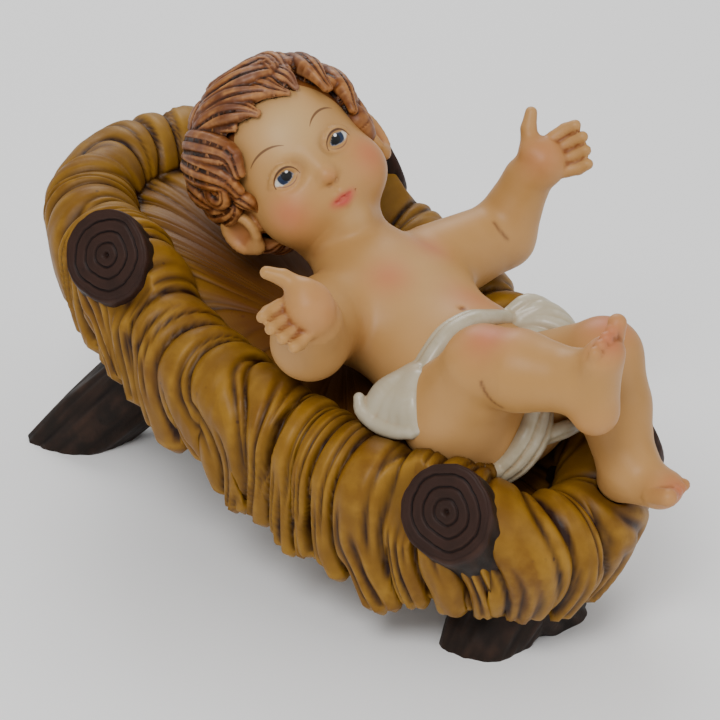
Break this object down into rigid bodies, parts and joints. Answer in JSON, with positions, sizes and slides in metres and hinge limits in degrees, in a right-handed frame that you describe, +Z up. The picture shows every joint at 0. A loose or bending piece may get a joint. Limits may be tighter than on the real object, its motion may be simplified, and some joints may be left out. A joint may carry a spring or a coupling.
{
  "type": "nativity infant figurine in manger",
  "caption": "Painted cast infant lying with open arms in a straw-filled manger that stands on crossed logs; the infant lifts out of the manger.",
  "frame": {"origin": "on the ground, under the middle of the whole part's bounding box", "axes": "+X from the head end of the bed to its foot end, +Y to the infant's left, +Z up"},
  "size_m": [0.16, 0.088, 0.0977],
  "materials": {
    "skin": "hand-painted cast resin, semi-gloss",
    "straw": "hand-painted cast resin with a dark wash, semi-gloss"
  },
  "bodies": {
    "root": {"infant": "skin", "manger": "straw"}
  },
  "joints": []
}
